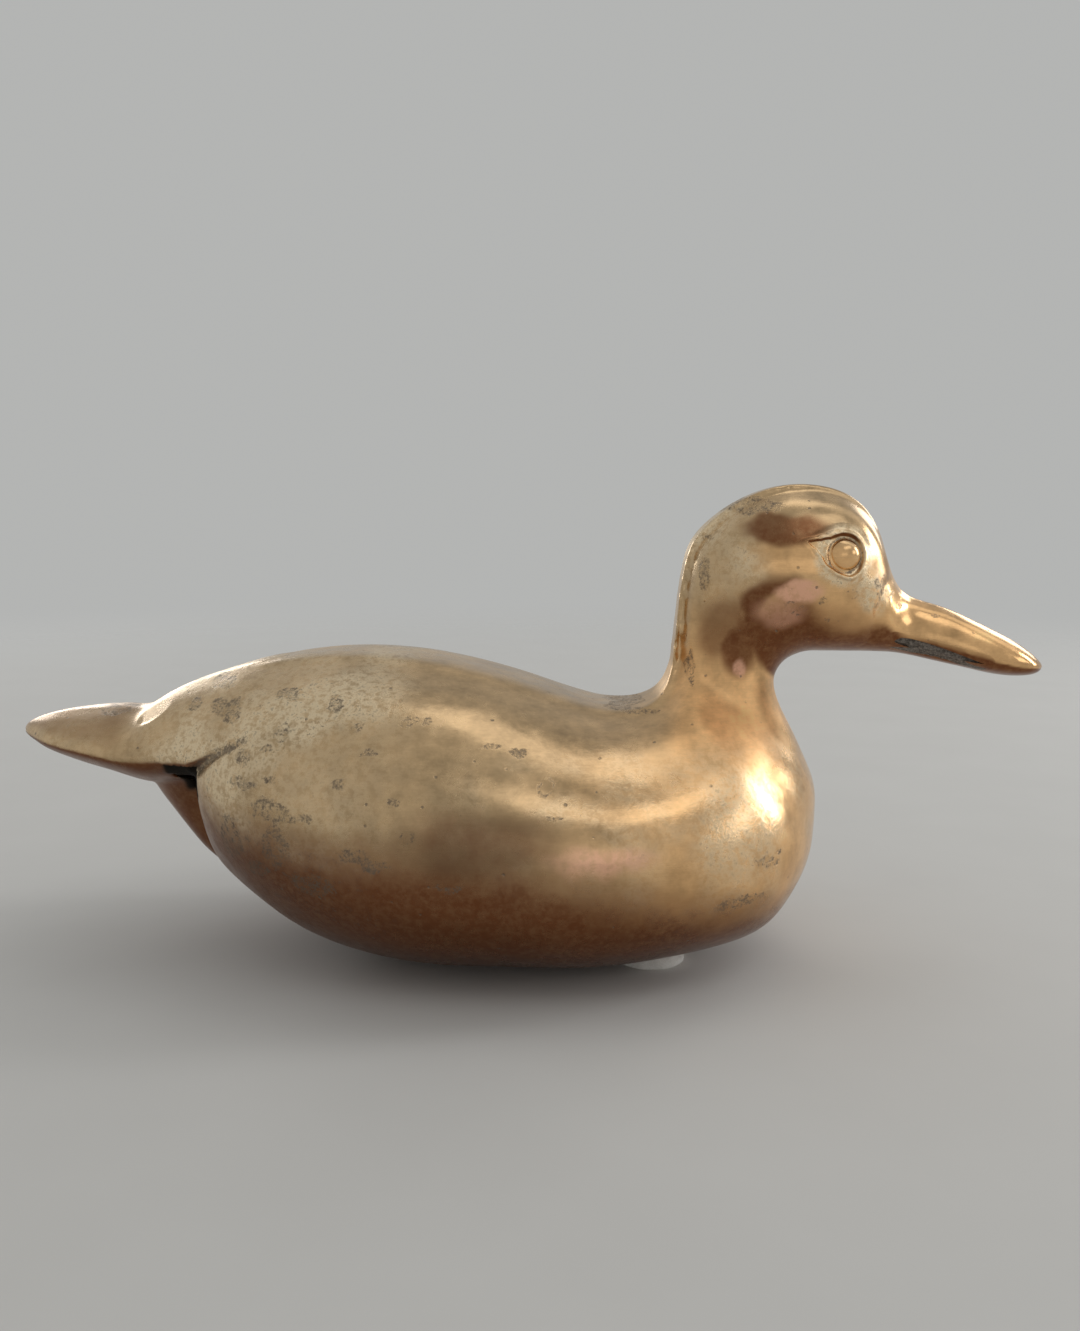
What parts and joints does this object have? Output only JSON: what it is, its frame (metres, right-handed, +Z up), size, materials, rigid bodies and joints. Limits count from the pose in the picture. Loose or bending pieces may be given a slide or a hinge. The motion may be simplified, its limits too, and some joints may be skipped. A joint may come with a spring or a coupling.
{
  "type": "duck figurine",
  "caption": "Swimming duck cast in brass, hollow and brazed shut, with an upswept tail, a raised head and a drooping bill, standing on felt pads.",
  "frame": {"origin": "on the surface that the duck stands on, below the middle of its length and width", "axes": "+X from tail to bill, +Y to the duck's left, +Z up"},
  "size_m": [0.25, 0.1002, 0.1145],
  "materials": {
    "brass": "aged satin polish, olive on the back, golden on the chest, brown tarnish towards the belly",
    "braze": "filed flush and polished with the casting",
    "felt": "pressed white wool felt, slightly fuzzy edge"
  },
  "bodies": {
    "root": {"right_shell": "brass", "left_shell": "brass", "tail_casting": "brass", "vent_plug": "brass", "seam_braze": "braze", "tail_braze": "braze", "felt_pad_front_right": "felt", "felt_pad_front_left": "felt", "felt_pad_rear": "felt"}
  },
  "joints": []
}
